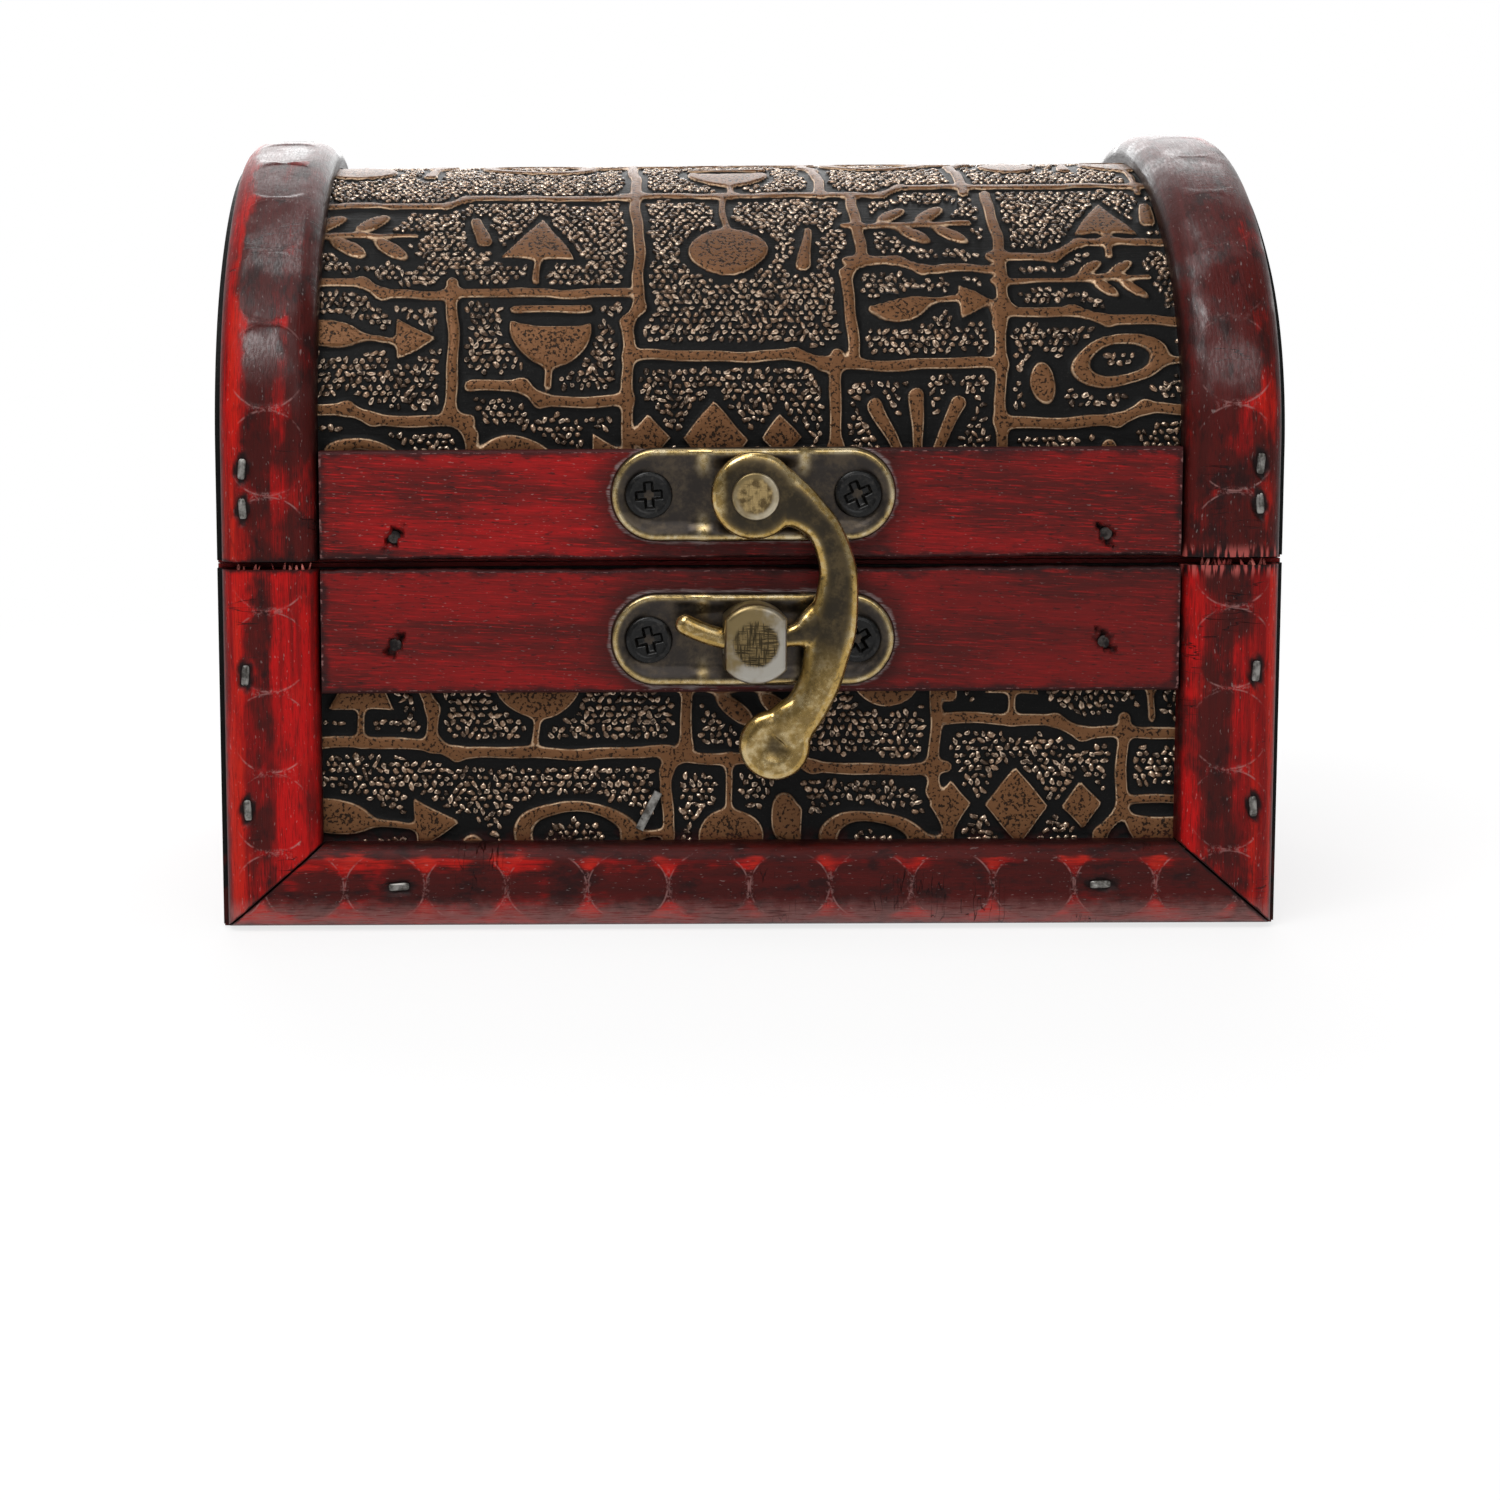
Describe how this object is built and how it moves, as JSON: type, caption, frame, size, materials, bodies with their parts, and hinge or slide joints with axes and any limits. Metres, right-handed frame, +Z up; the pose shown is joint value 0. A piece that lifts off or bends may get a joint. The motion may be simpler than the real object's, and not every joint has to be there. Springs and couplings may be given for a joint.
{
  "type": "treasure chest box",
  "caption": "Small wooden chest with an arched leather-covered lid, rounded red corner strips, rear hinges and a brass swing hook that latches over a catch.",
  "frame": {"origin": "middle of the underside, under the middle of the carcass", "axes": "+X along the chest to the right, -Y out of the front with the latch, +Z up"},
  "size_m": [0.1054, 0.0839, 0.0804],
  "materials": {
    "red_wood": "worn satin lacquer",
    "stained_board": "thin red stain",
    "embossed_leather": "embossed, bronze rubbed over black",
    "antique_brass": "darkened brass with bright worn edges",
    "black_screw": "black oxide",
    "grey_steel": "dull zinc"
  },
  "bodies": {
    "base": {"base_back_board": "stained_board", "base_back_leather": "embossed_leather", "base_back_left_post": "red_wood", "base_back_moulding": "red_wood", "base_back_rail": "red_wood", "base_back_right_post": "red_wood", "base_front_board": "stained_board", "base_front_leather": "embossed_leather", "base_front_left_post": "red_wood", "base_front_moulding": "red_wood", "base_front_rail": "red_wood", "base_front_right_post": "red_wood", "base_left_end": "stained_board", "base_moulding_brads": "grey_steel", "base_post_brads": "grey_steel", "base_rail_nails": "grey_steel", "base_right_end": "stained_board", "bottom_panel": "stained_board", "catch_block": "antique_brass", "catch_plate": "antique_brass", "catch_plate_screws": "black_screw", "floor_nails": "grey_steel", "hinge_base_screws": "antique_brass", "leather_staple": "grey_steel", "left_hinge_base_leaf": "antique_brass", "left_hinge_pin": "antique_brass", "right_hinge_base_leaf": "antique_brass", "right_hinge_pin": "antique_brass"},
    "lid": {"hinge_lid_screws": "antique_brass", "hook_plate": "antique_brass", "hook_plate_screws": "black_screw", "hook_rivet": "antique_brass", "left_hinge_lid_leaf": "antique_brass", "lid_arch_panel": "stained_board", "lid_back_batten": "stained_board", "lid_back_rail": "red_wood", "lid_front_batten": "stained_board", "lid_front_rail": "red_wood", "lid_leather": "embossed_leather", "lid_left_end": "stained_board", "lid_left_trim": "red_wood", "lid_rail_nails": "grey_steel", "lid_right_end": "stained_board", "lid_right_trim": "red_wood", "lid_trim_brads": "grey_steel", "right_hinge_lid_leaf": "antique_brass"},
    "hook": {"latch_hook": "antique_brass"}
  },
  "joints": [
    {"name": "lid_hinge", "type": "hinge", "parent": "base", "child": "lid", "pos_m": [0, 0.0389, 0.0367], "axis": [-1, 0, 0], "range_deg": [0, 100]},
    {"name": "hook_swing", "type": "hinge", "parent": "lid", "child": "hook", "pos_m": [0.0003, -0.041, 0.0435], "axis": [0, -1, 0], "range_deg": [0, 180]}
  ]
}
